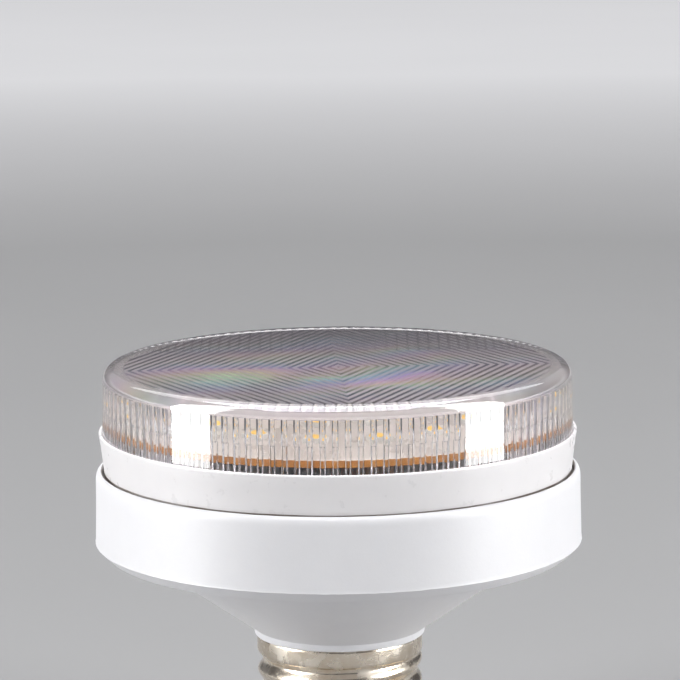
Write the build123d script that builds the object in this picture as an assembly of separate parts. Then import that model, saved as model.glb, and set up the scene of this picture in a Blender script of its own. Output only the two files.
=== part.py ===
from build123d import *
import os
from math import cos, sin, pi, radians, degrees, sqrt

os.makedirs("parts", exist_ok=True)

# Flat disc lamp, twist-locked into a white disc adapter that ends in an E27
# screw cap. +Z runs out of the clear front, and the origin is on the axis, in
# the plane where the cap's metal rim meets the neck. Millimetres.

# ---------------------------------------------------------------- dimensions
# adapter ring, cone and neck
RIM_Z = 26.9            # top of the ring's rounded rim
RIM_BORE_R = 37.05      # rim bore around the lamp
RING_TOP_R = 38.08
RING_BOT_R = 38.36
RING_SHOULDER_Z = 25.55
RING_BOT_Z = 15.5       # lower edge of the ring's wall
CHAMFER_R = 36.4
CHAMFER_Z = 13.75
CONE_TOP_R = 30.5
CONE_TOP_Z = 13.25
NECK_R = 13.5
NECK_TOP_Z = 1.35
SPIGOT_R = 11.75
SPIGOT_Z = -16.0
PASSAGE_R = 9.75        # wire passage through neck and spigot
RING_WALL_IN_R = 35.9
LEDGE_R = 35.2
# keyhole face plate
PLATE_TOP_Z = 26.0
PLATE_T = 2.0
PLATE_R = 36.95
PLATE_OPEN_R = 19.85
PIN_PITCH_R = 26.5      # two pins 53 mm apart
SLOT_HALF_W = 1.9
ENTRY_R = 2.95
TWIST_DEG = 20.0        # locked at 0, free to lift off at 20
PLATE_SCREW_R = 31.0
# lamp housing
LAMP_BASE_Z = 26.2
HOUSING_BOT_R = 36.72
LIP_R = 37.5
LIP_Z = 33.05
LIP_BORE_R = 37.05
SEAT_Z = 31.5
HOUSING_IN_R = 35.2
FLOOR_T = 1.8
BOSS_R = 19.25
BOSS_BOT_Z = 16.9
BOSS_IN_R = 17.65
LEDGE_IN_R = 16.2
DRIVER_Z = 19.5         # underside of the driver board
POST_R = 28.0
POST_ANGLES = (90.0, 210.0, 330.0)
# clear cover
COVER_TOP_Z = 43.2
COVER_R_TOP = 36.8
COVER_R_BOT = 36.92
COVER_ROUND = 2.0
COVER_IN_R = 35.5
COVER_IN_TOP_Z = 41.2
RIB_COUNT = 120
RIB_W = 0.85
RIB_DEEP = 0.9          # lower part of each rib
RIB_THIN = 0.55         # upper part of each rib
RIB_STEP_Z = 36.95
RIB_TOP_Z = 40.9        # above it the wall is as thick as the ribs are deep
RIB_TURN = -0.6
GROOVE_PITCH = 1.39     # nested diamond grooves on the inner face
GROOVE_DEPTH = 0.45
GROOVE_W = 0.62
GROOVE_FIELD_R = 33.3
GROOVE_LEAN = 26.65     # between a groove's normal and the diamonds' short diagonal
GROOVE_TURN = 2.85
GROOVE_X, GROOVE_Y = 0.23, -2.4
# boards and lights
LED_BOARD_Z = 33.6
LED_BOARD_T = 1.2
LED_BOARD_R = 34.2
LED_OUTER_R, LED_OUTER_N, LED_OUTER_A0 = 21.5, 14, -98.9
LED_INNER_R, LED_INNER_N, LED_INNER_A0 = 10.5, 7, -108.0
DRIVER_T = 1.6
DRIVER_R = 17.3
# screw cap
THREAD_PITCH = 3.629
THREAD_MEAN_R = 12.6
THREAD_AMP = 0.45
SHELL_T = 0.3
SHELL_SKIRT_R = 13.1
SHELL_TOP_Z = 0.0
THREAD_TOP_Z = -2.9
THREAD_BOT_Z = -18.6
CAP_TIP_Z = -26.6

PLATE_BOT_Z = PLATE_TOP_Z - PLATE_T
FLOOR_TOP_Z = LAMP_BASE_Z + FLOOR_T
LED_TOP_Z = LED_BOARD_Z + LED_BOARD_T
DRIVER_TOP_Z = DRIVER_Z + DRIVER_T


def save(shape, name):
    solids = list(shape.solids())
    body = solids[0] if len(solids) == 1 else Compound(children=solids)
    export_step(body, f"parts/{name}.step")
    print(name, len(solids), round(sum(s.volume for s in solids), 1))


def turned(points):
    """Closed profile in (radius, height), turned about Z."""
    edges = Polyline(*[(r, 0, z) for r, z in points], close=True)
    return revolve(make_face(Wire(edges.edges())), Axis.Z, 360)


def turned_wire(edges):
    return revolve(make_face(Wire(edges)), Axis.Z, 360)


def cyl(r, z0, z1, x=0.0, y=0.0):
    return Pos(x, y, (z0 + z1) / 2) * Cylinder(r, z1 - z0)


def block(x0, x1, y0, y1, z0, z1):
    return Pos((x0 + x1) / 2, (y0 + y1) / 2, (z0 + z1) / 2) * Box(x1 - x0, y1 - y0, z1 - z0)


def polar(r, deg):
    return r * cos(radians(deg)), r * sin(radians(deg))


def tube(points, r):
    """Round wire along a smooth path through the points."""
    path = Spline(*[Vector(*p) for p in points])
    start = path @ 0
    face = Plane(origin=start, z_dir=path % 0) * Circle(r)
    return sweep(face, path=path)


# ------------------------------------------------------------- adapter body
outer = [
    Line((RIM_BORE_R, 0, PLATE_BOT_Z), (RIM_BORE_R, 0, RIM_Z)),
    ThreePointArc((RIM_BORE_R, 0, RIM_Z), (37.80, 0, 26.48), (RING_TOP_R, 0, RING_SHOULDER_Z)),
    Line((RING_TOP_R, 0, RING_SHOULDER_Z), (RING_BOT_R, 0, RING_BOT_Z)),
    Line((RING_BOT_R, 0, RING_BOT_Z), (CHAMFER_R, 0, CHAMFER_Z)),
    Line((CHAMFER_R, 0, CHAMFER_Z), (CONE_TOP_R, 0, CONE_TOP_Z)),
    Line((CONE_TOP_R, 0, CONE_TOP_Z), (13.8, 0, NECK_TOP_Z)),
    Line((13.8, 0, NECK_TOP_Z), (NECK_R, 0, 1.15)),
    Line((NECK_R, 0, 1.15), (NECK_R, 0, 0.3)),
    Line((NECK_R, 0, 0.3), (13.2, 0, 0)),
    Line((13.2, 0, 0), (SPIGOT_R, 0, 0)),
    Line((SPIGOT_R, 0, 0), (SPIGOT_R, 0, SPIGOT_Z)),
    Line((SPIGOT_R, 0, SPIGOT_Z), (PASSAGE_R, 0, SPIGOT_Z)),
    Line((PASSAGE_R, 0, SPIGOT_Z), (PASSAGE_R, 0, 0.92)),
    Line((PASSAGE_R, 0, 0.92), (29.34, 0, 14.88)),
    Line((29.34, 0, 14.88), (34.9, 0, 15.4)),
    ThreePointArc((34.9, 0, 15.4), (35.62, 0, 15.70), (RING_WALL_IN_R, 0, 16.4)),
    Line((RING_WALL_IN_R, 0, 16.4), (RING_WALL_IN_R, 0, 22.4)),
    Line((RING_WALL_IN_R, 0, 22.4), (LEDGE_R, 0, 23.1)),
    Line((LEDGE_R, 0, 23.1), (LEDGE_R, 0, PLATE_BOT_Z)),
    Line((LEDGE_R, 0, PLATE_BOT_Z), (RIM_BORE_R, 0, PLATE_BOT_Z)),
]
adapter_body = turned_wire(outer)
# two screw posts for the face plate, each webbed to the ring
for side in (1, -1):
    adapter_body += cyl(3.0, 14.9, PLATE_BOT_Z, 0, side * PLATE_SCREW_R)
    adapter_body += block(-0.8, 0.8, min(side * 32.5, side * 36.4), max(side * 32.5, side * 36.4), 15.2, 22.6)
for side in (1, -1):
    adapter_body -= cyl(1.25, 16.4, PLATE_BOT_Z + 0.1, 0, side * PLATE_SCREW_R)
save(adapter_body, "adapter_body")

# ------------------------------------------------------ keyhole contact plate
plate = cyl(PLATE_R, PLATE_BOT_Z, PLATE_TOP_Z) - cyl(PLATE_OPEN_R, PLATE_BOT_Z - 1, PLATE_TOP_Z + 1)
plate += (cyl(PLATE_OPEN_R + 1.4, 21.4, PLATE_BOT_Z) - cyl(PLATE_OPEN_R, 21.3, PLATE_BOT_Z + 0.1))
for k in (0, 1):
    a0 = 180.0 * k
    slot = cyl(PIN_PITCH_R + SLOT_HALF_W, PLATE_BOT_Z - 1, PLATE_TOP_Z + 1)
    slot -= cyl(PIN_PITCH_R - SLOT_HALF_W, PLATE_BOT_Z - 2, PLATE_TOP_Z + 2)
    wedge_pts = [(0, 0), polar(60, a0), polar(60, a0 + TWIST_DEG / 2), polar(60, a0 + TWIST_DEG)]
    wedge = Pos(0, 0, PLATE_BOT_Z - 1) * extrude(Polygon(*wedge_pts, align=None), PLATE_T + 2)
    slot = slot & wedge
    x, y = polar(PIN_PITCH_R, a0)
    slot += cyl(SLOT_HALF_W, PLATE_BOT_Z - 1, PLATE_TOP_Z + 1, x, y)
    x, y = polar(PIN_PITCH_R, a0 + TWIST_DEG)
    slot += cyl(ENTRY_R, PLATE_BOT_Z - 1, PLATE_TOP_Z + 1, x, y)
    plate -= slot
for side in (1, -1):
    plate -= cyl(1.6, PLATE_BOT_Z - 1, PLATE_TOP_Z + 1, 0, side * PLATE_SCREW_R)
    plate -= Pos(0, side * PLATE_SCREW_R, PLATE_TOP_Z - 0.65) * Cone(1.6, 2.9, 1.3)
# blind holes under the plate for the spring rivets
for k in (0, 1):
    s = 1 if k == 0 else -1
    plate -= cyl(1.2, PLATE_BOT_Z - 1, 25.2, s * PIN_PITCH_R, -s * 14.0)
save(plate, "contact_plate")

# ----------------------------------------------------------- plate screws
screws = []
for side in (1, -1):
    y = side * PLATE_SCREW_R
    s = cyl(1.25, 17.4, 24.9, 0, y) + Pos(0, y, 25.3) * Cone(1.55, 2.8, 1.2)
    s -= block(-0.35, 0.35, y - 1.7, y + 1.7, 25.25, 26.1)
    s -= block(-1.7, 1.7, y - 0.35, y + 0.35, 25.25, 26.1)
    screws.append(s)
save(Compound(children=[x for s in screws for x in s.solids()]), "plate_screws")

# ------------------------------------------------ contact springs and rivets
leaf_side = [
    (-18.0, 23.60), (-10.9, 23.60), (-5.9, 20.45), (2.8, 20.45), (4.4, 19.55),
    (4.62, 19.90), (2.9, 20.85), (-5.8, 20.85), (-10.8, 24.00), (-18.0, 24.00),
]
leaf = extrude(make_face(Wire(Polyline(*[(0, y, z) for y, z in leaf_side], close=True).edges())), 4.0, dir=(1, 0, 0))
leaf = Pos(PIN_PITCH_R - 2.0, 0, 0) * leaf
leaf -= cyl(1.2, 23, 25, PIN_PITCH_R, -14.0)
springs = [leaf, Rot(0, 0, 180) * leaf]
save(Compound(children=[x for s in springs for x in s.solids()]), "contact_springs")
rivet = cyl(1.2, 23.6, 25.2, PIN_PITCH_R, -14.0) + Pos(PIN_PITCH_R, -14.0, 23.25) * Cone(1.4, 1.9, 0.7)
save(Compound(children=[*rivet.solids(), *(Rot(0, 0, 180) * rivet).solids()]), "spring_rivets")

# ------------------------------------------------------------- screw shell
skirt = turned([
    (SHELL_SKIRT_R - SHELL_T, SHELL_TOP_Z), (SHELL_SKIRT_R, SHELL_TOP_Z),
    (SHELL_SKIRT_R, THREAD_TOP_Z + 0.35), (SHELL_SKIRT_R - 0.05, THREAD_TOP_Z),
    (11.86, THREAD_TOP_Z), (11.86, THREAD_TOP_Z + SHELL_T), (SHELL_SKIRT_R - SHELL_T, THREAD_TOP_Z + SHELL_T),
])
path = Pos(0, 0, THREAD_BOT_Z) * Helix(THREAD_PITCH, THREAD_TOP_Z + 0.15 - THREAD_BOT_Z, THREAD_AMP)
start = path @ 0
section = Pos(start.X, start.Y, start.Z) * (Circle(THREAD_MEAN_R) - Circle(THREAD_MEAN_R - SHELL_T))
thread = sweep(section, path=path, normal=Vector(0, 0, 1))
foot = turned([
    (12.92, THREAD_BOT_Z + 0.05), (12.92, THREAD_BOT_Z - 0.15), (12.55, THREAD_BOT_Z - 0.6),
    (10.9, THREAD_BOT_Z - 1.9), (10.9, THREAD_BOT_Z - 1.5), (12.3, THREAD_BOT_Z - 0.35),
    (12.3, THREAD_BOT_Z - 0.25), (11.86, THREAD_BOT_Z - 0.25), (11.86, THREAD_BOT_Z + 0.05),
])
shell = skirt + thread + foot
save(shell, "screw_shell")

# -------------------------------------------------- insulator and contact
insulator = turned([
    (1.1, -19.2), (11.7, -19.2), (11.7, -19.0), (11.85, -19.0), (12.2, -19.0),
    (10.85, -20.05), (10.85, -20.6), (5.6, -24.3), (5.6, -24.9), (1.1, -24.9),
])
save(insulator, "cap_insulator")
centre_contact = turned([
    (0, -17.9), (0.95, -17.9), (0.95, -24.9), (4.9, -24.9), (4.9, -25.5), (4.4, -26.0),
    (3.2, -26.35), (1.6, -26.55), (0, CAP_TIP_Z),
])
save(centre_contact, "centre_contact")

# ----------------------------------------------------- leads of the adapter
live = tube([(26.5, -17.1, 23.55), (26.2, -17.0, 20.6), (18.0, -11.4, 12.2), (7.0, -4.4, 2.6),
             (4.8, -2.6, -6.0), (0.6, -0.3, -14.0), (0, 0, -17.8)], 0.65)
neutral = tube([(-26.5, 17.1, 23.55), (-26.2, 17.0, 20.6), (-18.0, 11.4, 12.2), (-7.0, 4.6, 2.6),
                (-6.2, 4.2, -8.0), (-6.9, 4.6, -15.3), (-9.2, 5.6, -17.6)], 0.65)
save(Compound(children=[*live.solids(), *neutral.solids()]), "adapter_leads")

# -------------------------------------------------------------- lamp housing
hou = [
    Line((0, 0, BOSS_BOT_Z), (BOSS_R - 0.9, 0, BOSS_BOT_Z)),
    ThreePointArc((BOSS_R - 0.9, 0, BOSS_BOT_Z), (BOSS_R - 0.264, 0, BOSS_BOT_Z + 0.264), (BOSS_R, 0, BOSS_BOT_Z + 0.9)),
    Line((BOSS_R, 0, BOSS_BOT_Z + 0.9), (BOSS_R, 0, LAMP_BASE_Z - 0.3)),
    Line((BOSS_R, 0, LAMP_BASE_Z - 0.3), (BOSS_R + 0.3, 0, LAMP_BASE_Z)),
    Line((BOSS_R + 0.3, 0, LAMP_BASE_Z), (HOUSING_BOT_R - 0.35, 0, LAMP_BASE_Z)),
    ThreePointArc((HOUSING_BOT_R - 0.35, 0, LAMP_BASE_Z), (HOUSING_BOT_R - 0.1, 0, LAMP_BASE_Z + 0.1), (HOUSING_BOT_R, 0, LAMP_BASE_Z + 0.38)),
    Line((HOUSING_BOT_R, 0, LAMP_BASE_Z + 0.38), (LIP_R, 0, LIP_Z - 0.3)),
    ThreePointArc((LIP_R, 0, LIP_Z - 0.3), (LIP_R - 0.07, 0, LIP_Z - 0.07), (LIP_R - 0.22, 0, LIP_Z)),
    Line((LIP_R - 0.22, 0, LIP_Z), (LIP_BORE_R, 0, LIP_Z)),
    Line((LIP_BORE_R, 0, LIP_Z), (LIP_BORE_R, 0, SEAT_Z)),
    Line((LIP_BORE_R, 0, SEAT_Z), (HOUSING_IN_R, 0, SEAT_Z)),
    Line((HOUSING_IN_R, 0, SEAT_Z), (HOUSING_IN_R, 0, FLOOR_TOP_Z + 0.8)),
    ThreePointArc((HOUSING_IN_R, 0, FLOOR_TOP_Z + 0.8), (HOUSING_IN_R - 0.235, 0, FLOOR_TOP_Z + 0.235), (HOUSING_IN_R - 0.8, 0, FLOOR_TOP_Z)),
    Line((HOUSING_IN_R - 0.8, 0, FLOOR_TOP_Z), (BOSS_IN_R, 0, FLOOR_TOP_Z)),
    Line((BOSS_IN_R, 0, FLOOR_TOP_Z), (BOSS_IN_R, 0, DRIVER_Z)),
    Line((BOSS_IN_R, 0, DRIVER_Z), (LEDGE_IN_R, 0, DRIVER_Z)),
    Line((LEDGE_IN_R, 0, DRIVER_Z), (LEDGE_IN_R, 0, BOSS_BOT_Z + 1.6)),
    Line((LEDGE_IN_R, 0, BOSS_BOT_Z + 1.6), (0, 0, BOSS_BOT_Z + 1.6)),
    Line((0, 0, BOSS_BOT_Z + 1.6), (0, 0, BOSS_BOT_Z)),
]
housing = turned_wire(hou)
for a in POST_ANGLES:
    x, y = polar(POST_R, a)
    housing += cyl(2.8, FLOOR_TOP_Z - 0.2, LED_BOARD_Z, x, y)
for a in POST_ANGLES:
    x, y = polar(POST_R, a)
    housing -= cyl(0.95, FLOOR_TOP_Z + 0.4, LED_BOARD_Z + 0.1, x, y)
for s in (1, -1):
    housing -= cyl(1.3, LAMP_BASE_Z - 0.5, FLOOR_TOP_Z + 0.5, s * PIN_PITCH_R, 0)
save(housing, "lamp_housing")

# -------------------------------------------------------------- contact pins
pin = turned([
    (0, 20.9), (1.9, 20.9), (2.45, 21.4), (2.45, 22.9), (2.2, 23.2), (1.6, 23.3), (1.6, LAMP_BASE_Z),
    (1.3, LAMP_BASE_Z), (1.3, FLOOR_TOP_Z), (2.3, FLOOR_TOP_Z), (2.1, FLOOR_TOP_Z + 0.7),
    (1.0, FLOOR_TOP_Z + 0.9), (1.0, FLOOR_TOP_Z + 1.5), (0, FLOOR_TOP_Z + 1.5),
])
pins = [Pos(PIN_PITCH_R, 0, 0) * pin, Pos(-PIN_PITCH_R, 0, 0) * pin]
save(Compound(children=[x for p in pins for x in p.solids()]), "contact_pins")

# --------------------------------------------------------------- clear cover
cover_shell = turned_wire([
    Line((0, 0, COVER_TOP_Z), (COVER_R_TOP - COVER_ROUND, 0, COVER_TOP_Z)),
    ThreePointArc((COVER_R_TOP - COVER_ROUND, 0, COVER_TOP_Z),
                  (COVER_R_TOP - COVER_ROUND * (1 - sqrt(0.5)), 0, COVER_TOP_Z - COVER_ROUND * (1 - sqrt(0.5))),
                  (COVER_R_TOP, 0, COVER_TOP_Z - COVER_ROUND)),
    Line((COVER_R_TOP, 0, COVER_TOP_Z - COVER_ROUND), (COVER_R_BOT, 0, SEAT_Z)),
    Line((COVER_R_BOT, 0, SEAT_Z), (COVER_IN_R, 0, SEAT_Z)),
    Line((COVER_IN_R, 0, SEAT_Z), (0, 0, SEAT_Z)),
    Line((0, 0, SEAT_Z), (0, 0, COVER_TOP_Z)),
])


def ribbed_core(depth, z0, z1):
    """The hollow inside the wall: a disc notched by the ribs."""
    pts = []
    half = RIB_W / 2
    tip = RIB_W * 0.36
    for k in range(RIB_COUNT):
        a = 2 * pi * k / RIB_COUNT + radians(RIB_TURN)
        d = (cos(a), sin(a))
        t = (-sin(a), cos(a))
        for r, w in ((COVER_IN_R, -half), (COVER_IN_R - depth, -tip), (COVER_IN_R - depth, tip), (COVER_IN_R, half)):
            pts.append((r * d[0] + w * t[0], r * d[1] + w * t[1]))
    return Pos(0, 0, z0) * extrude(Polygon(*pts, align=None), z1 - z0)


hollow = ribbed_core(RIB_THIN, RIB_STEP_Z, RIB_TOP_Z)
hollow += ribbed_core(RIB_DEEP, SEAT_Z - 0.01, RIB_STEP_Z)
neck_r = COVER_IN_R - RIB_THIN - 0.02
corner = COVER_IN_TOP_Z - RIB_TOP_Z - 0.1
hollow += turned_wire([
    Line((0, 0, RIB_TOP_Z - 0.2), (neck_r, 0, RIB_TOP_Z - 0.2)),
    Line((neck_r, 0, RIB_TOP_Z - 0.2), (neck_r, 0, COVER_IN_TOP_Z - corner)),
    ThreePointArc((neck_r, 0, COVER_IN_TOP_Z - corner),
                  (neck_r - corner * (1 - sqrt(0.5)), 0, COVER_IN_TOP_Z - corner * (1 - sqrt(0.5))),
                  (neck_r - corner, 0, COVER_IN_TOP_Z)),
    Line((neck_r - corner, 0, COVER_IN_TOP_Z), (0, 0, COVER_IN_TOP_Z)),
    Line((0, 0, COVER_IN_TOP_Z), (0, 0, RIB_TOP_Z - 0.2)),
])
cover = cover_shell - hollow
# nested diamond V grooves: one set of prisms per quarter, mitred on the two diagonals
n_rings = int((GROOVE_FIELD_R + 2.5) / GROOVE_PITCH) + 1
base = COVER_IN_TOP_Z - 0.3
teeth = [(0.0, base), (0.0, COVER_IN_TOP_Z + GROOVE_DEPTH), (GROOVE_W / 2, COVER_IN_TOP_Z)]
for k in range(1, n_rings):
    d0 = k * GROOVE_PITCH
    teeth.append((d0 - GROOVE_W / 2, COVER_IN_TOP_Z))
    teeth.append((d0, COVER_IN_TOP_Z + GROOVE_DEPTH))
    teeth.append((d0 + GROOVE_W / 2, COVER_IN_TOP_Z))
teeth.append((teeth[-1][0], base))
field = cyl(GROOVE_FIELD_R, base - 0.1, COVER_IN_TOP_Z + 1)
saw_face = make_face(Wire(Polyline(*[(d, 0, z) for d, z in teeth], close=True).edges()))
saw = Pos(0, -80, 0) * extrude(saw_face, 160, dir=(0, 1, 0))
for sx in (1, -1):
    for sy in (1, -1):
        quarter = Pos(sx * 30, sy * 30, base + 0.6) * Box(60, 60, 1.6)
        lean = GROOVE_LEAN * sx * sy + (0 if sx > 0 else 180)
        prisms = Pos(GROOVE_X, GROOVE_Y, 0) * Rot(0, 0, GROOVE_TURN) * ((Rot(0, 0, lean) * saw) & quarter)
        cover -= prisms & field
save(cover, "lamp_cover")

# ----------------------------------------------------------------- LED board
board = cyl(LED_BOARD_R, LED_BOARD_Z, LED_TOP_Z)
for a in POST_ANGLES:
    x, y = polar(POST_R, a)
    board -= cyl(1.2, LED_BOARD_Z - 1, LED_TOP_Z + 1, x, y)
for x in (-2.0, 2.0):
    board -= cyl(0.65, LED_BOARD_Z - 1, LED_TOP_Z + 1, x, 15.5)
save(board, "led_board")

packages, phosphors = [], []
body = block(-1.4, 1.4, -1.75, 1.75, 0, 0.72) - block(-1.05, 1.05, -1.4, 1.4, 0.35, 1.0)
gel = block(-1.05, 1.05, -1.4, 1.4, 0.35, 1.2) & (Pos(0, 0, -1.52) * Sphere(2.6))
for r, n, a0 in ((LED_OUTER_R, LED_OUTER_N, LED_OUTER_A0), (LED_INNER_R, LED_INNER_N, LED_INNER_A0)):
    for k in range(n):
        a = a0 + 360.0 * k / n
        x, y = polar(r, a)
        place = Pos(x, y, LED_TOP_Z) * Rot(0, 0, a)
        packages += (place * body).solids()
        phosphors += (place * gel).solids()
save(Compound(children=packages), "led_packages")
save(Compound(children=phosphors), "led_phosphors")

bscrews = []
for a in POST_ANGLES:
    x, y = polar(POST_R, a)
    s = cyl(0.95, 28.9, LED_TOP_Z + 0.1, x, y) + cyl(1.9, LED_TOP_Z, LED_TOP_Z + 0.9, x, y)
    s = s + Pos(x, y, LED_TOP_Z + 1.05) * Cone(1.9, 1.2, 0.3)
    s -= block(x - 0.22, x + 0.22, y - 1.1, y + 1.1, LED_TOP_Z + 0.6, LED_TOP_Z + 2)
    s -= block(x - 1.1, x + 1.1, y - 0.22, y + 0.22, LED_TOP_Z + 0.6, LED_TOP_Z + 2)
    bscrews += s.solids()
save(Compound(children=bscrews), "board_screws")

# -------------------------------------------------------------- driver board
drv = cyl(DRIVER_R, DRIVER_Z, DRIVER_TOP_Z)
for x, y in ((14.6, 0), (-14.6, 0), (-2.0, 14.0), (2.0, 14.0)):
    drv -= cyl(0.65, DRIVER_Z - 1, DRIVER_TOP_Z + 1, x, y)
save(drv, "driver_board")

# electrolytic can with its rolled neck
can = turned([
    (0, 0), (3.6, 0), (4.0, 0.4), (4.0, 1.5), (3.7, 1.8), (3.7, 2.1), (4.0, 2.4),
    (4.0, 10.9), (3.7, 11.3), (0, 11.3),
])
can -= block(-2.6, 2.6, -0.15, 0.15, 11.15, 12)
can -= block(-0.15, 0.15, -2.6, 2.6, 11.15, 12)
save(Pos(-6.6, 2.4, DRIVER_TOP_Z) * can, "electrolytic_capacitor")

film = block(-5.0, 5.0, -2.2, 2.2, 0.3, 8.6)
film = fillet(film.edges().filter_by(Axis.Z), 0.8)
film = fillet(film.faces().sort_by(Axis.Z)[-1].edges(), 0.6)
film += block(-3.9, -3.3, -0.3, 0.3, 0, 0.5) + block(3.3, 3.9, -0.3, 0.3, 0, 0.5)
save(Pos(5.0, 8.0, DRIVER_TOP_Z) * film, "film_capacitor")

core = cyl(3.6, 0, 1.2) + cyl(1.8, 1.0, 7.4) + cyl(3.6, 7.2, 8.4)
save(Pos(6.2, -2.2, DRIVER_TOP_Z) * core, "inductor_core")
winding = cyl(3.2, 1.2, 7.2) - cyl(1.8, 1.1, 7.3)
save(Pos(6.2, -2.2, DRIVER_TOP_Z) * winding, "inductor_winding")

res = Pos(0, 0, 1.7) * Rot(0, 90, 0) * Cylinder(1.1, 5.6)
res += Pos(-2.3, 0, 1.7) * Rot(0, 90, 0) * Cylinder(1.35, 1.0)
res += Pos(2.3, 0, 1.7) * Rot(0, 90, 0) * Cylinder(1.35, 1.0)
for s in (-1, 1):
    res += block(min(s * 2.7, s * 4.3), max(s * 2.7, s * 4.3), -0.3, 0.3, 1.4, 2.0)
    res += block(min(s * 3.7, s * 4.3), max(s * 3.7, s * 4.3), -0.3, 0.3, 0, 2.0)
save(Pos(-1.0, -11.5, DRIVER_TOP_Z) * res, "fuse_resistor")

bridge = block(-2.35, 2.35, -1.95, 1.95, 0.25, 2.6)
bridge = chamfer(bridge.faces().sort_by(Axis.Z)[-1].edges(), 0.3)
for x in (-1.27, 1.27):
    for s in (-1, 1):
        bridge += block(x - 0.35, x + 0.35, min(s * 1.9, s * 2.6), max(s * 1.9, s * 2.6), 1.0, 1.25)
        bridge += block(x - 0.35, x + 0.35, min(s * 2.35, s * 2.6), max(s * 2.35, s * 2.6), 0, 1.25)
        bridge += block(x - 0.35, x + 0.35, min(s * 2.35, s * 3.4), max(s * 2.35, s * 3.4), 0, 0.25)
save(Pos(-8.6, -5.6, DRIVER_TOP_Z) * bridge, "bridge_rectifier")

ic = block(-1.95, 1.95, -2.45, 2.45, 0.15, 1.6)
ic = chamfer(ic.faces().sort_by(Axis.Z)[-1].edges(), 0.2)
for k in range(4):
    y = -1.905 + 1.27 * k
    for s in (-1, 1):
        ic += block(min(s * 1.9, s * 2.4), max(s * 1.9, s * 2.4), y - 0.2, y + 0.2, 0.7, 0.9)
        ic += block(min(s * 2.2, s * 2.4), max(s * 2.2, s * 2.4), y - 0.2, y + 0.2, 0, 0.9)
        ic += block(min(s * 2.2, s * 3.0), max(s * 2.2, s * 3.0), y - 0.2, y + 0.2, 0, 0.2)
save(Pos(8.6, -9.6, DRIVER_TOP_Z) * ic, "driver_ic")

# ------------------------------------------------------------ leads of the lamp
in_a = tube([(26.5, 0, 29.6), (25.6, 0.4, 31.2), (21.0, 1.2, 31.6), (16.2, 0.8, 28.0), (14.7, 0.1, 23.5), (14.6, 0, 20.0)], 0.55)
in_b = tube([(-26.5, 0, 29.6), (-25.6, -0.4, 31.2), (-21.0, -1.2, 31.6), (-16.2, -0.8, 28.0), (-14.7, -0.1, 23.5), (-14.6, 0, 20.0)], 0.55)
save(Compound(children=[*in_a.solids(), *in_b.solids()]), "pin_leads")
out_a = tube([(-2.0, 14.0, 20.0), (-2.0, 14.1, 24.0), (-2.5, 14.8, 28.0), (-2.0, 15.5, 32.0), (-2.0, 15.5, 34.6)], 0.5)
out_b = tube([(2.0, 14.0, 20.0), (2.0, 14.1, 24.0), (2.5, 14.8, 28.0), (2.0, 15.5, 32.0), (2.0, 15.5, 34.6)], 0.5)
save(Compound(children=[*out_a.solids(), *out_b.solids()]), "led_leads")
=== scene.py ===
import bpy, bmesh, math, random
from mathutils import Matrix, Vector


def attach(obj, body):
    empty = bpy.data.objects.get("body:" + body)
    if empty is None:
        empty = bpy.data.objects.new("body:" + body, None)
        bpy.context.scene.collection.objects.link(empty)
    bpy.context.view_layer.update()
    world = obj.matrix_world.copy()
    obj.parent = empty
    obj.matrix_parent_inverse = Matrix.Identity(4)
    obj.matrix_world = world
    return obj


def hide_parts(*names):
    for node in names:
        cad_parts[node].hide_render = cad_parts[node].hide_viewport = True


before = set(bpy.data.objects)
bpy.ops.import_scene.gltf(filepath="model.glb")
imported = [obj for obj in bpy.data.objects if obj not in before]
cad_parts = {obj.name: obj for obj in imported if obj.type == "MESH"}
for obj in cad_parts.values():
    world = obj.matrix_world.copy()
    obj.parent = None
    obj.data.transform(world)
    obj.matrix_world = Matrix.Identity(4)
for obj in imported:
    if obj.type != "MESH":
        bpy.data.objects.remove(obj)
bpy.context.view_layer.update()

MM = 0.001
scene = bpy.context.scene
scene.view_settings.view_transform = "Standard"
scene.view_settings.look = "None"


# ------------------------------------------------------------------ node help
def new_mat(name):
    m = bpy.data.materials.new(name)
    m.use_nodes = True
    nt = m.node_tree
    for n in list(nt.nodes):
        nt.nodes.remove(n)
    out = nt.nodes.new("ShaderNodeOutputMaterial")
    p = nt.nodes.new("ShaderNodeBsdfPrincipled")
    nt.links.new(p.outputs[0], out.inputs[0])
    return m, nt, p


def node(nt, kind, **kw):
    n = nt.nodes.new(kind)
    for k, v in kw.items():
        if hasattr(n, k):
            setattr(n, k, v)
        else:
            n.inputs[k].default_value = v
    return n


def noise(nt, co, scale, detail=4.0, rough=0.55, dist=0.0):
    n = nt.nodes.new("ShaderNodeTexNoise")
    n.inputs["Scale"].default_value = scale
    n.inputs["Detail"].default_value = detail
    n.inputs["Roughness"].default_value = rough
    n.inputs["Distortion"].default_value = dist
    nt.links.new(co, n.inputs["Vector"])
    return n.outputs["Fac"]


def ramp(nt, fac, stops, interp="LINEAR"):
    r = nt.nodes.new("ShaderNodeValToRGB")
    r.color_ramp.interpolation = interp
    el = r.color_ramp.elements
    while len(el) > 2:
        el.remove(el[-1])
    for i, (pos, col) in enumerate(stops):
        e = el[i] if i < 2 else el.new(pos)
        e.position = pos
        e.color = (*col, 1.0) if len(col) == 3 else col
    nt.links.new(fac, r.inputs[0])
    return r.outputs[0]


def mathn(nt, op, a, b=None, c=None, clamp=False):
    n = nt.nodes.new("ShaderNodeMath")
    n.operation = op
    n.use_clamp = clamp
    for i, v in enumerate((a, b, c)):
        if v is None:
            continue
        if isinstance(v, (int, float)):
            n.inputs[i].default_value = v
        else:
            nt.links.new(v, n.inputs[i])
    return n.outputs[0]


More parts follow.
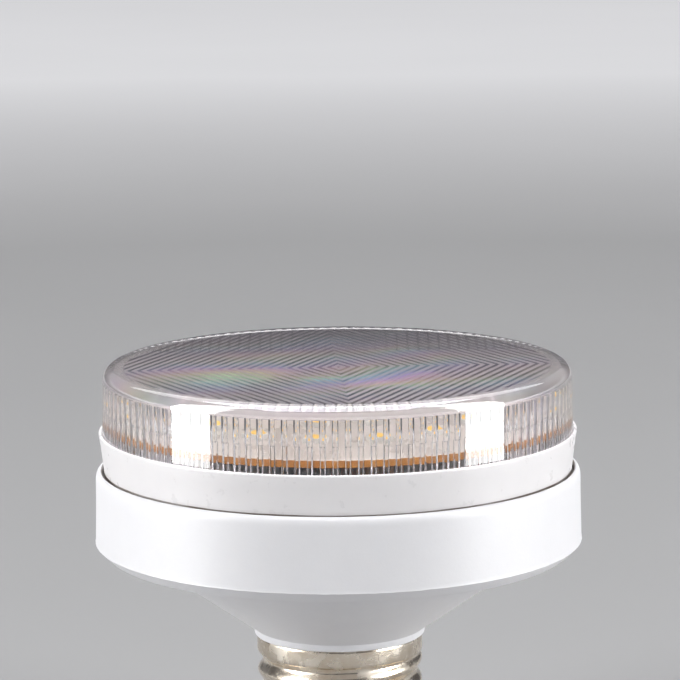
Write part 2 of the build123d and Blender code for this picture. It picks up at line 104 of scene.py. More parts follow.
def maprange(nt, v, a, b, c, d, kind="LINEAR"):
    n = nt.nodes.new("ShaderNodeMapRange")
    n.interpolation_type = kind
    nt.links.new(v, n.inputs[0])
    for i, x in enumerate((a, b, c, d)):
        n.inputs[i + 1].default_value = x
    return n.outputs[0]


def mixc(nt, fac, a, b, mode="MIX"):
    n = nt.nodes.new("ShaderNodeMix")
    n.data_type = "RGBA"
    n.blend_type = mode
    if isinstance(fac, (int, float)):
        n.inputs["Factor"].default_value = fac
    else:
        nt.links.new(fac, n.inputs["Factor"])
    for key, v in (("A", a), ("B", b)):
        s = [i for i in n.inputs if i.name == key and i.type == "RGBA"][0]
        if isinstance(v, tuple):
            s.default_value = (*v, 1.0) if len(v) == 3 else v
        else:
            nt.links.new(v, s)
    return [o for o in n.outputs if o.type == "RGBA"][0]


def bump(nt, p, height, strength, distance):
    b = nt.nodes.new("ShaderNodeBump")
    b.inputs["Strength"].default_value = strength
    b.inputs["Distance"].default_value = distance
    nt.links.new(height, b.inputs["Height"])
    nt.links.new(b.outputs[0], p.inputs["Normal"])
    return b


def coords(nt):
    return nt.nodes.new("ShaderNodeTexCoord").outputs["Object"]


def xyz(nt, co):
    s = nt.nodes.new("ShaderNodeSeparateXYZ")
    nt.links.new(co, s.inputs[0])
    return s.outputs


def plastic(name, light, dark, rough_lo, rough_hi, bump_d=0.00002, specular=0.5, sss=0.0, fine=2600.0, matt_below=None, seam_shade=None):
    m, nt, p = new_mat(name)
    co = coords(nt)
    big = noise(nt, co, 55.0, 5.0, 0.6)
    small = noise(nt, co, 420.0, 4.0, 0.6)
    both = mathn(nt, "ADD", mathn(nt, "MULTIPLY", big, 0.65), mathn(nt, "MULTIPLY", small, 0.35))
    col = ramp(nt, both, [(0.30, dark), (0.70, light)])
    if seam_shade:
        # painted shade: a dark brown band in the seam round the lamp, between two heights, outside or inside a
        # radius
        z_lo, z_hi, r_lo, r_hi = seam_shade
        x, y, z = xyz(nt, co)
        radial = mathn(nt, "SQRT", mathn(nt, "ADD", mathn(nt, "MULTIPLY", x, x), mathn(nt, "MULTIPLY", y, y)))
        edge = mathn(nt, "ADD", z, maprange(nt, noise(nt, co, 45.0, 3.0), 0.35, 0.65, -0.00006, 0.00006))
        seam_shade_mask = mathn(nt, "MULTIPLY", maprange(nt, edge, z_lo - 0.0001, z_lo, 0.0, 1.0), maprange(nt, edge, z_hi - 0.00008, z_hi, 1.0, 0.0))
        seam_shade_mask = mathn(nt, "MULTIPLY", seam_shade_mask, maprange(nt, radial, r_lo - 0.0001, r_lo, 0.0, 1.0))
        seam_shade_mask = mathn(nt, "MULTIPLY", seam_shade_mask, maprange(nt, radial, r_hi, r_hi + 0.0001, 1.0, 0.0))
        seam_shade_mask = mathn(nt, "MULTIPLY", seam_shade_mask, maprange(nt, noise(nt, co, 120.0, 4.0), 0.3, 0.6, 0.55, 0.95))
        col = mixc(nt, seam_shade_mask, col, (0.13, 0.095, 0.07))
    nt.links.new(col, p.inputs["Base Color"])
    rr = maprange(nt, small, 0.3, 0.7, rough_lo, rough_hi)
    if matt_below:
        rr = mathn(nt, "ADD", rr, maprange(nt, xyz(nt, co)[2], matt_below, matt_below + 0.001, 0.4, 0.0), clamp=True)
    nt.links.new(rr, p.inputs["Roughness"])
    grain = noise(nt, co, fine, 3.0, 0.5)
    bump(nt, p, grain, 0.35, bump_d)
    p.inputs["Specular IOR Level"].default_value = specular
    if sss:
        p.inputs["Subsurface Weight"].default_value = sss
        p.inputs["Subsurface Radius"].default_value = (0.0012, 0.0011, 0.0010)
        p.inputs["Subsurface Scale"].default_value = 1.0
    return m


def metal(name, light, dark, rough_lo, rough_hi, scale=300.0, bump_d=0.00001):
    m, nt, p = new_mat(name)
    co = coords(nt)
    a = noise(nt, co, scale, 6.0, 0.62, 0.4)
    b = noise(nt, co, scale * 0.22, 4.0, 0.6)
    both = mathn(nt, "ADD", mathn(nt, "MULTIPLY", a, 0.5), mathn(nt, "MULTIPLY", b, 0.5))
    nt.links.new(ramp(nt, both, [(0.33, dark), (0.62, light)]), p.inputs["Base Color"])
    nt.links.new(maprange(nt, a, 0.3, 0.7, rough_lo, rough_hi), p.inputs["Roughness"])
    p.inputs["Metallic"].default_value = 1.0
    bump(nt, p, a, 0.3, bump_d)
    return m


# --------------------------------------------------------------- mesh helpers
def arc(cx, cz, r, a0, a1, n):
    return [(cx + r * math.cos(math.radians(a0 + (a1 - a0) * i / n)),
             cz + r * math.sin(math.radians(a0 + (a1 - a0) * i / n))) for i in range(n + 1)]


def to_object(name, verts, faces, sharp=28.0, slots=None):
    me = bpy.data.meshes.new(name)
    me.from_pydata([(x * MM, y * MM, z * MM) for x, y, z in verts], [], faces)
    bm = bmesh.new()
    bm.from_mesh(me)
    bmesh.ops.recalc_face_normals(bm, faces=bm.faces)
    bm.to_mesh(me)
    bm.free()
    me.update()
    for p in me.polygons:
        p.use_smooth = True
    me.set_sharp_from_angle(angle=math.radians(sharp))
    ob = bpy.data.objects.new(name, me)
    scene.collection.objects.link(ob)
    return ob


def lathe(profile, segs=256, radial=None):
    """Closed profile of (radius, height) points in mm, turned about Z. radial(i, a, r, z) may move a point."""
    verts, faces = [], []
    rows = []
    for i, (r, z) in enumerate(profile):
        if r < 1e-6:
            verts.append((0.0, 0.0, z))
            rows.append([len(verts) - 1] * segs)
            continue
        row = []
        for k in range(segs):
            a = 2 * math.pi * k / segs
            rr, zz = (r, z) if radial is None else radial(i, a, r, z)
            verts.append((rr * math.cos(a), rr * math.sin(a), zz))
            row.append(len(verts) - 1)
        rows.append(row)
    n = len(rows)
    for i in range(n):
        a, b = rows[i], rows[(i + 1) % n]
        if a[0] == a[1] and b[0] == b[1]:
            continue
        for k in range(segs):
            q = [a[k], a[(k + 1) % segs], b[(k + 1) % segs], b[k]]
            f = []
            for v in q:
                if v not in f:
                    f.append(v)
            if len(f) > 2:
                faces.append(f)
    return verts, faces


def use(ob, mat, body, *nodes, slot=None):
    ob.data.materials.clear()
    for m in (mat if isinstance(mat, (list, tuple)) else [mat]):
        ob.data.materials.append(m)
    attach(ob, body)
    if nodes:
        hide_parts(*nodes)
    return ob


rnd = random.Random(7)


def wobble(seed, n, amp):
    """Smooth closed random curve of angle."""
    r = random.Random(seed)
    parts = [(k, r.uniform(-1, 1) * amp / math.sqrt(k), r.uniform(0, 6.283)) for k in n]
    return lambda a: sum(c * math.sin(k * a + ph) for k, c, ph in parts)


# ------------------------------------------------------------------ materials
# the seam_shade bands below paint shade into the seam where housing, adapter ring and plate meet
white_housing = plastic("white_housing_plastic", (0.84, 0.825, 0.83), (0.80, 0.785, 0.79), 0.26, 0.36, sss=0.08, seam_shade=(0.0255, 0.02702, 0.0360, 0.0380))
white_adapter = plastic("white_adapter_plastic", (0.80, 0.80, 0.815), (0.765, 0.765, 0.785), 0.42, 0.55, bump_d=0.00003, specular=0.4, sss=0.08, matt_below=0.0138,
                        seam_shade=(0.0240, 0.0275, 0.0360, 0.03722))
plate_plastic = plastic("plate_plastic_grain", (0.80, 0.80, 0.80), (0.76, 0.76, 0.765), 0.35, 0.5, seam_shade=(0.0240, 0.0270, 0.0362, 0.0380))
led_white = plastic("led_package_white", (0.56, 0.54, 0.50), (0.50, 0.48, 0.44), 0.5, 0.65, specular=0.25)
driver_green = plastic("driver_laminate_green", (0.055, 0.20, 0.085), (0.035, 0.15, 0.06), 0.25, 0.4)
film_red = plastic("film_red_dip", (0.50, 0.09, 0.05), (0.42, 0.07, 0.04), 0.2, 0.35)
ferrite = plastic("ferrite_grain", (0.045, 0.045, 0.05), (0.025, 0.025, 0.028), 0.5, 0.75)
epoxy = plastic("moulded_epoxy", (0.03, 0.03, 0.032), (0.018, 0.018, 0.02), 0.4, 0.6)
insulator_black = plastic("insulator_black_glass", (0.018, 0.018, 0.022), (0.01, 0.01, 0.012), 0.12, 0.3)
resistor_blue = plastic("resistor_coat", (0.20, 0.34, 0.42), (0.16, 0.28, 0.36), 0.3, 0.45)
wire_coat = plastic("wire_coat", (0.75, 0.74, 0.70), (0.68, 0.67, 0.63), 0.35, 0.5)
cap_metal = metal("cap_nickel", (0.86, 0.80, 0.70), (0.62, 0.50, 0.36), 0.16, 0.34)
brass = metal("plain_brass", (0.86, 0.66, 0.32), (0.66, 0.46, 0.20), 0.2, 0.4)
bronze = metal("spring_bronze_strip", (0.80, 0.56, 0.36), (0.62, 0.40, 0.24), 0.22, 0.4)
steel = metal("zinc_steel", (0.76, 0.76, 0.76), (0.56, 0.56, 0.57), 0.22, 0.42)
copper = metal("winding_copper", (0.80, 0.38, 0.18), (0.60, 0.24, 0.10), 0.25, 0.45)
can_metal = metal("can_sleeve", (0.20, 0.22, 0.28), (0.12, 0.13, 0.17), 0.25, 0.45)

# yellow phosphor with fine grains
phosphor, nt, p = new_mat("phosphor_gel")
co = coords(nt)
nt.links.new(ramp(nt, noise(nt, co, 3800.0, 3.0), [(0.35, (0.88, 0.50, 0.05)), (0.65, (0.96, 0.64, 0.11))]), p.inputs["Base Color"])
nt.links.new(maprange(nt, noise(nt, co, 900.0), 0.3, 0.7, 0.5, 0.65), p.inputs["Roughness"])
p.inputs["Specular IOR Level"].default_value = 0.2
bump(nt, p, noise(nt, co, 5000.0, 2.0), 0.3, 0.00001)

# white mask on the board, its colour painted down to tan grey: painted shade for the light the clear cover would
# hold back, since the cover casts no shadow
mask_white_shaded, nt, p = new_mat("board_white_mask")
co = coords(nt)
x, y, z = xyz(nt, co)
a = noise(nt, co, 90.0, 5.0)
b = noise(nt, co, 2500.0, 2.0)
base = ramp(nt, a, [(0.3, (0.46, 0.41, 0.355)), (0.7, (0.57, 0.515, 0.46))])
speck = ramp(nt, b, [(0.74, (1, 1, 1)), (0.80, (0.35, 0.33, 0.31))])
nt.links.new(mixc(nt, 1.0, base, speck, "MULTIPLY"), p.inputs["Base Color"])
nt.links.new(maprange(nt, a, 0.3, 0.7, 0.22, 0.36), p.inputs["Roughness"])
bump(nt, p, a, 0.4, 0.00002)

# amber laminate edge: fine plies and dust
laminate, nt, p = new_mat("board_amber_laminate")
co = coords(nt)
x, y, z = xyz(nt, co)
layer = nt.nodes.new("ShaderNodeTexWave")
layer.wave_type = "BANDS"
layer.bands_direction = "Z"
layer.inputs["Scale"].default_value = 1500.0
layer.inputs["Distortion"].default_value = 2.0
layer.inputs["Detail"].default_value = 2.0
nt.links.new(co, layer.inputs["Vector"])
patch = noise(nt, co, 260.0, 6.0, 0.7)
c1 = ramp(nt, patch, [(0.25, (0.20, 0.066, 0.004)), (0.5, (0.30, 0.112, 0.008)), (0.75, (0.40, 0.165, 0.016))])
c2 = ramp(nt, layer.outputs["Fac"], [(0.2, (0.86, 0.82, 0.78)), (0.8, (1.0, 1.0, 1.0))])
nt.links.new(mixc(nt, 1.0, c1, c2, "MULTIPLY"), p.inputs["Base Color"])
nt.links.new(maprange(nt, patch, 0.3, 0.7, 0.55, 0.75), p.inputs["Roughness"])
p.inputs["Specular IOR Level"].default_value = 0.15
bump(nt, p, patch, 0.5, 0.00003)

# clear moulded cover: faint stress colours that drift across it; the grooved inner face is a little hazy, with
# painted shade towards its back and on its groove flanks
HUES = [(0.00, (1.0, 0.84, 0.50)), (0.17, (0.66, 1.0, 0.58)), (0.33, (0.46, 0.92, 0.98)), (0.50, (0.45, 0.62, 1.0)),
        (0.66, (0.70, 0.52, 1.0)), (0.83, (1.0, 0.62, 0.76)), (1.0, (1.0, 0.84, 0.50))]


def clear_material(name, rough_lo, rough_hi, tint, bump_strength, haze=0.0, base=(0.955, 0.94, 0.955), transmission=1.0):
    m, nt, p = new_mat(name)
    co = coords(nt)
    x, y, z = xyz(nt, co)
    warp = noise(nt, co, 34.0, 2.0, 0.5)
    radial = mathn(nt, "SQRT", mathn(nt, "ADD", mathn(nt, "MULTIPLY", x, x), mathn(nt, "MULTIPLY", y, y)))
    phase = mathn(nt, "ADD", mathn(nt, "MULTIPLY", y, -60.0), mathn(nt, "MULTIPLY", warp, 1.8))
    phase = mathn(nt, "FRACT", mathn(nt, "ADD", phase, mathn(nt, "ADD", mathn(nt, "MULTIPLY", x, 26.0), 8.0)))
    hues = ramp(nt, phase, HUES)
    band = mathn(nt, "MULTIPLY", mathn(nt, "ADD", y, 0.013), 80.0)
    band = mathn(nt, "DIVIDE", 1.0, mathn(nt, "ADD", 1.0, mathn(nt, "MULTIPLY", band, band)))
    patch = maprange(nt, noise(nt, co, 75.0, 3.0), 0.40, 0.62, 0.12, 1.0)
    strength = mathn(nt, "MULTIPLY", mathn(nt, "ADD", band, 0.14), patch)
    strength = mathn(nt, "MULTIPLY", strength, maprange(nt, radial, 0.020, 0.033, 1.0, 0.25))
    strength = mathn(nt, "MULTIPLY", strength, tint, clamp=True)
    col = mixc(nt, strength, base, hues)
    if haze:
        # the lands carry the haze, thinner in the plain rim except at its front. Painted shade: towards the back
        # (+y) the haze thins and its colour darkens
        rim = maprange(nt, radial, 0.0332, 0.0336, 0.0, 1.0)
        back_shade = maprange(nt, y, 0.004, 0.029, 1.0, 0.30)
        milk_and_shade = mixc(nt, rim, (0.68, 0.635, 0.645), (0.60, 0.55, 0.525))
        milk_and_shade = mixc(nt, back_shade, (0.20, 0.18, 0.20), milk_and_shade)
        col = mixc(nt, 1.0, col, milk_and_shade, "MULTIPLY")
        fog = mathn(nt, "MULTIPLY", back_shade, haze)
        # painted light: in the plain rim the haze is 2.6 times thicker at the front edge (-y) and 0.4 times behind
        # it, so the front edge reads lighter
        side = maprange(nt, y, -0.031, -0.020, 2.6, 0.4)
        fog = mathn(nt, "MULTIPLY", fog, mathn(nt, "ADD", 1.0, mathn(nt, "MULTIPLY", rim, mathn(nt, "SUBTRACT", side, 1.0))))
        nt.links.new(mathn(nt, "SUBTRACT", 1.0, fog), p.inputs["Transmission Weight"])
        base_rough = maprange(nt, noise(nt, co, 300.0, 3.0), 0.3, 0.7, rough_lo, rough_hi)
        nt.links.new(mathn(nt, "ADD", base_rough, mathn(nt, "MULTIPLY", rim, 0.12)), p.inputs["Roughness"])
    else:
        p.inputs["Transmission Weight"].default_value = transmission
        nt.links.new(maprange(nt, noise(nt, co, 300.0, 3.0), 0.3, 0.7, rough_lo, rough_hi), p.inputs["Roughness"])
    nt.links.new(col, p.inputs["Base Color"])
    p.inputs["IOR"].default_value = 1.58
    bump(nt, p, noise(nt, co, 160.0, 3.0, 0.5), bump_strength, 0.00001)
    return m, p


clear, p = clear_material("clear_moulded_cover", 0.0, 0.015, 0.25, 0.25)
grooved, p = clear_material("clear_grooved_face", 0.02, 0.06, 0.5, 0.2, haze=0.38)
ribbed, p = clear_material("clear_ribbed_wall", 0.03, 0.06, 0.4, 0.1, base=(0.93, 0.92, 0.94))
# painted shade: the groove flanks get a near-black finish that lets only 30 % through, drawing the grooves as dark
# lines
flank_shade, p = clear_material("groove_flank_painted_shade", 0.10, 0.20, 0.4, 0.2, base=(0.05, 0.044, 0.052), transmission=0.30)
p.inputs["Specular IOR Level"].default_value = 0.1

# -------------------------------------------------------------- adapter body
RIM_Z, RING_BOT_Z = 26.9, 15.5
flash_r = wobble(3, range(40, 190, 7), 0.05)
flash_z = wobble(5, range(30, 150, 5), 0.05)
prof = [(37.05, 24.0), (37.05, 26.62)]
prof += [(37.09, 26.78), (37.2, 26.86), (37.34, 26.88)]
prof += [(37.62, 26.74), (37.84, 26.48), (37.99, 26.12), (38.06, 25.75), (38.075, 25.4)]
wall_rows = [(38.10, 23.0), (38.15, 20.5), (38.21, 18.0), (38.26, 16.2), (38.275, 15.78)]
prof += wall_rows
flash_at = len(prof)
prof += [(38.30, 15.62), (38.335, 15.52), (38.22, 15.42)]
prof += [(37.9, 15.1), (37.2, 14.45), (36.6, 13.92), (36.35, 13.76), (36.0, 13.70)]
prof += [(33.0, 13.47), (31.0, 13.30), (30.4, 13.18), (30.0, 12.93)]
prof += [(26.0, 10.08), (22.0, 7.22), (18.0, 4.36), (14.6, 1.93), (14.05, 1.54), (13.80, 1.36), (13.62, 1.22), (13.52, 1.12)]
prof += [(13.5, 0.9), (13.5, 0.32), (13.46, 0.16), (13.34, 0.04), (13.2, 0.0)]
prof += [(11.75, 0.0), (11.75, -16.0), (9.75, -16.0), (9.75, 0.92), (29.34, 14.88), (34.9, 15.4), (35.62, 15.7),
         (35.9, 16.4), (35.9, 22.4), (35.2, 23.1), (35.2, 24.0)]


def adapter_shape(i, a, r, z):
    if flash_at <= i <= flash_at + 1:
        k = 1.0 if i == flash_at + 1 else 0.5
        r = min(38.355, r + k * min(0.02, flash_r(a)))
        z = z + k * max(-0.11, min(0.11, flash_z(a)))
    return r, z


v, f = lathe(prof, 720, adapter_shape)
adapter = use(to_object("adapter_shell", v, f), white_adapter, "adapter", "adapter_body", slot="white_adapter")

# -------------------------------------------------------------- lamp housing
prof = [(0, 16.9), (18.35, 16.9)]
prof += arc(18.35, 17.8, 0.9, -90, 0, 6)[1:]
prof += [(19.25, 25.9), (19.33, 26.08), (19.55, 26.2)]
prof += [(36.3, 26.2)] + arc(36.34, 26.58, 0.38, -80, 0, 5)
prof += [(36.80, 27.4), (37.02, 29.4), (37.25, 31.2), (37.46, 32.6)]
prof += arc(37.22, 32.78, 0.26, 10, 90, 5)
prof += [(37.12, 33.04), (37.06, 32.98), (37.05, 32.8), (37.05, 31.5), (35.2, 31.5), (35.2, 28.8)]
prof += arc(34.4, 28.8, 0.8, 0, -90, 4)[1:]
prof += [(17.65, 28.0), (17.65, 19.5), (16.2, 19.5), (16.2, 18.5), (0, 18.5)]
v, f = lathe(prof, 512)
posts_v, posts_f = [], []
for ang in (90.0, 210.0, 330.0):
    cx, cy = 28.0 * math.cos(math.radians(ang)), 28.0 * math.sin(math.radians(ang))
    pv, pf = lathe([(2.8, 27.9), (2.8, 33.3), (2.6, 33.6), (0.95, 33.6), (0.95, 28.4), (0, 28.4), (0, 27.9)], 40)
    off = len(v)
    v += [(q[0] + cx, q[1] + cy, q[2]) for q in pv]
    f += [[i + off for i in face] for face in pf]
housing = use(to_object("housing_cup", v, f), white_housing, "lamp", "lamp_housing", slot="white_housing")


# --------------------------------------------------------------- clear cover
def cover_mesh():
    verts, faces, index = [], [], {}

    def vert(x, y, z):
        key = (round(x, 5), round(y, 5), round(z, 5))
        if key not in index:
            index[key] = len(verts)
            verts.append((x, y, z))
        return index[key]

    def face(*ids):
        f = []
        for i in ids:
            if not f or f[-1] != i:
                f.append(i)
        if len(f) > 1 and f[0] == f[-1]:
            f.pop()
        if len(set(f)) == len(f) and len(f) > 2:
            faces.append(f)

    per = 12
    n = 120 * per
    angs = [2 * math.pi * k / n + math.radians(-0.6) for k in range(n)]

    def row(rfun, z):
        return [vert(rfun(k) * math.cos(angs[k]), rfun(k) * math.sin(angs[k]), z) for k in range(n)]

    def rib(k, depth):
        """Rounded trapezoid, widest at its foot."""
        t = ((k + per // 2) % per) - per // 2
        deg = abs(t) * 3.0 / per
        lo, hi = 0.42, 0.78
        if deg <= lo:
            s = 1.0
        elif deg >= hi:
            s = 0.0
        else:
            u = (deg - lo) / (hi - lo)
            s = 0.5 + 0.5 * math.cos(math.pi * u)
        return 35.5 - depth * s

    outer = [row(lambda k: 36.92, 31.5), row(lambda k: 36.90, 33.2), row(lambda k: 36.85, 37.0), row(lambda k: 36.80, 41.0)]
    for r, z in arc(34.85, 41.25, 1.95, 0, 90, 10)[1:]:
        outer.append(row(lambda k, r=r: r, z))
    inner = [
        row(lambda k: rib(k, 0.9), 31.5), row(lambda k: rib(k, 0.9), 36.82), row(lambda k: rib(k, 0.84), 36.92),
        row(lambda k: rib(k, 0.55), 36.97), row(lambda k: rib(k, 0.55), 40.82), row(lambda k: rib(k, 0.57), 40.88),
        row(lambda k: 34.93, 40.9),
    ]
    for r, z in arc(34.73, 41.0, 0.2, 0, 90, 5):
        inner.append(row(lambda k, r=r: r, z))
    for rows in (outer, inner):
        for a, b in zip(rows, rows[1:]):
            for k in range(n):
                face(a[k], a[(k + 1) % n], b[(k + 1) % n], b[k])
    for k in range(n):
        face(outer[0][k], outer[0][(k + 1) % n], inner[0][(k + 1) % n], inner[0][k])
    face(*outer[-1])

    # nested diamond V grooves between flat lands, mitred on the two diagonals, clipped to a circle
    pitch, half, deep, rf, z0 = 1.39, 0.31, 0.45, 33.3, 41.2
    lean, tilt, px, py = math.radians(26.65), math.radians(2.85), 0.23, -2.4
    ds, hs = [0.0, half], [z0 + deep, z0]
    k = 1
    while k * pitch - half < rf + 3.0:
        ds += [k * pitch - half, k * pitch, k * pitch + half]
        hs += [z0, z0 + deep, z0]
        k += 1
    rim_n = 720
    circle = [(rf * math.cos(2 * math.pi * i / rim_n), rf * math.sin(2 * math.pi * i / rim_n)) for i in range(rim_n)]

    def cut(poly, a, b, c):
        """Keep the side a*x + b*y >= c of a convex polygon."""
        out = []
        for i in range(len(poly)):
            p, q = poly[i], poly[(i + 1) % len(poly)]
            dp, dq = a * p[0] + b * p[1] - c, a * q[0] + b * q[1] - c
            if dp >= -1e-9:
                out.append(p)
            if (dp > 1e-9 and dq < -1e-9) or (dp < -1e-9 and dq > 1e-9):
                t = dp / (dp - dq)
                out.append((p[0] + (q[0] - p[0]) * t, p[1] + (q[1] - p[1]) * t))
        return out

    ct, st = math.cos(tilt), math.sin(tilt)
    ring = []
    for sx in (1, -1):
        for sy in (1, -1):
            # axes of the pattern: u along its short diagonal, v along its long one
            ux, uy, vx, vy = sx * ct, sx * st, -sy * st, sy * ct
            part = cut(circle, ux, uy, ux * px + uy * py)
            part = cut(part, vx, vy, vx * px + vy * py)
            nx, ny = ux * math.cos(lean) + vx * math.sin(lean), uy * math.cos(lean) + vy * math.sin(lean)
            off = nx * px + ny * py
            for i in range(len(ds) - 1):
                cell = cut(part, nx, ny, off + ds[i])
                cell = cut(cell, -nx, -ny, -off - ds[i + 1])
                if len(cell) < 3:
                    continue
                pts = []
                for X, Y in cell:
                    t = (nx * X + ny * Y - off - ds[i]) / (ds[i + 1] - ds[i])
                    Z = hs[i] + (hs[i + 1] - hs[i]) * min(1.0, max(0.0, t))
                    pts.append(vert(X, Y, Z))
                    if math.hypot(X, Y) > rf - 0.0012:
                        ring.append((math.atan2(Y, X) % (2 * math.pi), X, Y, Z))
                face(*pts)
    ring.sort()
    clean = []
    for t in ring:
        if not clean or t[0] - clean[-1][0] > 1e-6:
            clean.append(t)
    if clean[0][0] + 2 * math.pi - clean[-1][0] < 1e-6:
        clean.pop()
    top = [vert(X, Y, Z) for _, X, Y, Z in clean]
    base = [vert(X, Y, z0) for _, X, Y, Z in clean]
    m = len(clean)
    for i in range(m):
        j = (i + 1) % m
        face(top[i], top[j], base[j], base[i])
    # zip the groove field's rim to the plain band outside it
    A, B = [(angs[k], inner[-1][k]) for k in range(n)], [(clean[i][0], base[i]) for i in range(m)]
    i = j = 0
    while i < n or j < m:
        ai = A[(i + 1) % n][0] + (2 * math.pi if i + 1 >= n else 0) if i < n else 1e9
        bj = B[(j + 1) % m][0] + (2 * math.pi if j + 1 >= m else 0) if j < m else 1e9
        if ai <= bj:
            face(A[i % n][1], A[(i + 1) % n][1], B[j % m][1])
            i += 1
        else:
            face(A[i % n][1], B[(j + 1) % m][1], B[j % m][1])
            j += 1
    return verts, faces


v, f = cover_mesh()
cover = to_object("clear_cover_shell", v, f, sharp=24.0)
use(cover, [clear, grooved, ribbed, flank_shade], "lamp", "lamp_cover", slot="clear_cover")
cover.visible_shadow = False
for poly in cover.data.polygons:
    cx, cy, cz = poly.center
    r = math.hypot(cx, cy)
    if r < 0.0350 and cz > 0.04089 and cz < 0.0420:
        # sloped groove flank faces take the painted-shade flank material
        poly.material_index = 3 if 0.2 < abs(poly.normal.z) < 0.9 and cz > 0.0412 else 1
    elif r < 0.0357 and cz < 0.0409:
        poly.material_index = 2

# ------------------------------------------------------------------ LED board
verts, faces = lathe([(0, 33.6), (34.1, 33.6), (34.2, 33.66), (34.2, 34.72), (34.12, 34.8), (0, 34.8)], 360)
board = to_object("led_board_disc", verts, faces)
use(board, [laminate, mask_white_shaded], "lamp", "led_board", slot="board_amber")
for poly in board.data.polygons:
    if poly.normal.z > 0.6:
        poly.material_index = 1

# ---------------------------------------------------------------- screw shell
def shell_mesh():
    verts, faces = [], []
    segs, pitch = 192, 3.629
    rows = []

    def add(rfun, z):
        row = []
        for k in range(segs):
            a = 2 * math.pi * k / segs
            r = rfun(a, z)
            verts.append((r * math.cos(a), r * math.sin(a), z))
            row.append(len(verts) - 1)
        rows.append(row)

    def thread(a, z, t=0.0):
        ph = 2 * math.pi * (z + 18.6) / pitch - a
        e = min(1.0, max(0.0, (-2.9 - z) / 0.9)) * min(1.0, max(0.0, (z + 18.9) / 1.0))
        return 12.62 + 0.43 * math.cos(ph) * e - t

    for r, z in ((12.80, -0.02), (12.9, 0.0), (13.02, -0.03), (13.09, -0.14), (13.1, -0.4), (13.1, -2.3), (13.06, -2.6), (12.92, -2.8)):
        add(lambda a, z, r=r: r, z)
    steps = 128
    for i in range(steps + 1):
        z = -2.95 - (18.75 - 2.95) * i / steps
        add(thread, z)
    for r, z in ((12.55, -19.0), (12.2, -19.35), (11.2, -20.15), (10.95, -20.42), (10.9, -20.2), (10.92, -20.05), (12.2, -18.95), (12.25, -18.7)):
        add(lambda a, z, r=r: r, z)
    for i in range(steps, -1, -1):
        z = -2.95 - (18.6 - 2.95) * i / steps
        add(lambda a, z: thread(a, z, 0.28), z)
    add(lambda a, z: 12.76, -2.5)
    n = len(rows)
    for i in range(n):
        a, b = rows[i], rows[(i + 1) % n]
        for k in range(segs):
            faces.append([a[k], a[(k + 1) % segs], b[(k + 1) % segs], b[k]])
    return verts, faces


v, f = shell_mesh()
use(to_object("screw_shell_metal", v, f, sharp=50.0), cap_metal, "adapter", "screw_shell", slot="cap_metal")

prof = [(1.1, -19.2), (11.7, -19.2), (11.7, -19.02), (12.15, -19.02), (10.85, -20.05), (10.85, -20.5)]
prof += [(10.5, -20.85), (8.6, -22.0), (6.4, -23.5), (5.75, -24.05), (5.6, -24.4), (5.6, -24.9), (1.1, -24.9)]
v, f = lathe(prof, 160)
use(to_object("insulator_cone", v, f), insulator_black, "adapter", "cap_insulator", slot="black_insulator")
prof = [(0, -17.9), (0.95, -17.9), (0.95, -24.9), (4.85, -24.9), (4.9, -25.0), (4.9, -25.4), (4.75, -25.75), (4.4, -26.0),
        (3.6, -26.27), (2.4, -26.47), (1.2, -26.57), (0, -26.6)]
v, f = lathe(prof, 128)
use(to_object("tip_contact", v, f), brass, "adapter", "centre_contact", slot="brass")

# ------------------------------------------------ materials on carried nodes
carried = {
    "contact_plate": plate_plastic, "plate_screws": steel, "contact_springs": bronze, "spring_rivets": brass,
    "adapter_leads": wire_coat, "contact_pins": brass, "led_packages": led_white, "led_phosphors": phosphor,
    "board_screws": steel, "driver_board": driver_green, "electrolytic_capacitor": can_metal, "film_capacitor": film_red,
    "inductor_core": ferrite, "inductor_winding": copper, "fuse_resistor": resistor_blue, "bridge_rectifier": epoxy,
    "driver_ic": epoxy, "pin_leads": wire_coat, "led_leads": wire_coat,
}
for name, mat in carried.items():
    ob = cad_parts[name]
    ob = ob if hasattr(ob, "material_slots") else bpy.data.objects[name]
    for s in ob.material_slots:
        s.material = mat

# --------------------------------------------------------------------- stage
FLOOR_Z = -0.0268
bpy.ops.mesh.primitive_grid_add(x_subdivisions=2, y_subdivisions=2, size=24.0, location=(0, 0, FLOOR_Z))
floor = bpy.context.object
floor.name = "floor"
fm, nt, p = new_mat("pale_floor")
co = coords(nt)
nt.links.new(ramp(nt, noise(nt, co, 3.0, 3.0), [(0.3, (0.41, 0.41, 0.415)), (0.7, (0.43, 0.43, 0.435))]), p.inputs["Base Color"])
p.inputs["Roughness"].default_value = 0.9
p.inputs["Specular IOR Level"].default_value = 0.0
# far from the lamp, beyond the lights, the floor stays pale
x, y, z = xyz(nt, co)
away = mathn(nt, "SQRT", mathn(nt, "ADD", mathn(nt, "MULTIPLY", x, x), mathn(nt, "MULTIPLY", y, y)))
nt.links.new(maprange(nt, away, 0.65, 1.35, 0.0, 0.38), p.inputs["Emission Strength"])
p.inputs["Emission Color"].default_value = (0.97, 0.97, 1.0, 1.0)
floor.data.materials.append(fm)

world = bpy.data.worlds.new("studio")
scene.world = world
world.use_nodes = True
bg = world.node_tree.nodes["Background"]
bg.inputs[0].default_value = (0.90, 0.90, 1.0, 1)
bg.inputs[1].default_value = 0.10
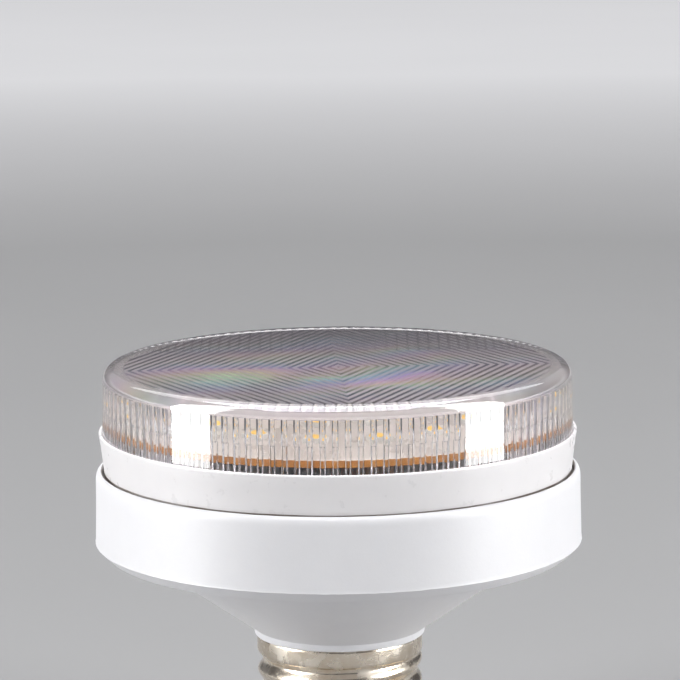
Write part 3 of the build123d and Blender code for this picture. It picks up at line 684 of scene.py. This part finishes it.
# the backdrop itself is pale, while the light it gives stays low
wt = world.node_tree
pale = wt.nodes.new("ShaderNodeBackground")
pale.inputs[0].default_value = (0.97, 0.97, 1.0, 1)
pale.inputs[1].default_value = 0.50
path = wt.nodes.new("ShaderNodeLightPath")
mix = wt.nodes.new("ShaderNodeMixShader")
wt.links.new(path.outputs["Is Camera Ray"], mix.inputs[0])
wt.links.new(bg.outputs[0], mix.inputs[1])
wt.links.new(pale.outputs[0], mix.inputs[2])
wt.links.new(mix.outputs[0], wt.nodes["World Output"].inputs["Surface"])


def softbox(name, azim, dist, z, w, h, radiance, color=(1, 1, 1), aim_z=0.03):
    d = bpy.data.lights.new(name, "AREA")
    d.shape = "RECTANGLE"
    d.size, d.size_y = w, h
    d.energy = radiance * math.pi * w * h
    d.color = color
    ob = bpy.data.objects.new(name, d)
    scene.collection.objects.link(ob)
    a = math.radians(azim)
    ob.location = (dist * math.sin(a), -dist * math.cos(a), z)
    look = Vector((0, 0, aim_z)) - ob.location
    ob.rotation_euler = look.to_track_quat("-Z", "Y").to_euler()
    ob.visible_camera = False
    return ob


for s in (-1, 1):
    side = "l" if s < 0 else "r"
    key = softbox(f"softbox_{side}", 70 * s, 0.85, 0.33, 0.40, 0.62, 10.0)
    key.visible_transmission = False
    strip = softbox(f"strip_{side}", 70 * s, 0.25, FLOOR_Z + 0.235, 0.097, 0.46, 12.0, aim_z=FLOOR_Z + 0.235)
    strip.visible_diffuse = False
    strip.visible_transmission = False
top = softbox("softbox_top", 180, 1.5, 2.3, 3.0, 2.6, 2.2, aim_z=0.0)
# a wide panel overhead that only shows as the bright line along the cover's rounded edge
over = softbox("softbox_over", 0, 0.09, 1.15, 1.2, 1.28, 10.0, (0.97, 0.94, 1.0))
over.rotation_euler = (0.0, 0.0, 0.0)
over.visible_diffuse = False
over.visible_transmission = False

# -------------------------------------------------------------------- camera
cam_d = bpy.data.cameras.new("camera")
cam_d.sensor_width = 36.0
cam_d.lens = 3207.0 / 680.0 * 36.0
cam_d.clip_start, cam_d.clip_end = 0.01, 60.0
cam = bpy.data.objects.new("camera", cam_d)
scene.collection.objects.link(cam)
fw = Vector((0.00099407, 0.98604789, -0.1664589)).normalized()
rt = Vector((0.99995078, -0.00262338, -0.00956849)).normalized()
up = rt.cross(fw).normalized()
rot = Matrix((rt, up, -fw)).transposed().to_4x4()
cam.matrix_world = Matrix.Translation((0.0, -0.49465816, 0.10364586 + 0.02665)) @ rot
scene.camera = cam
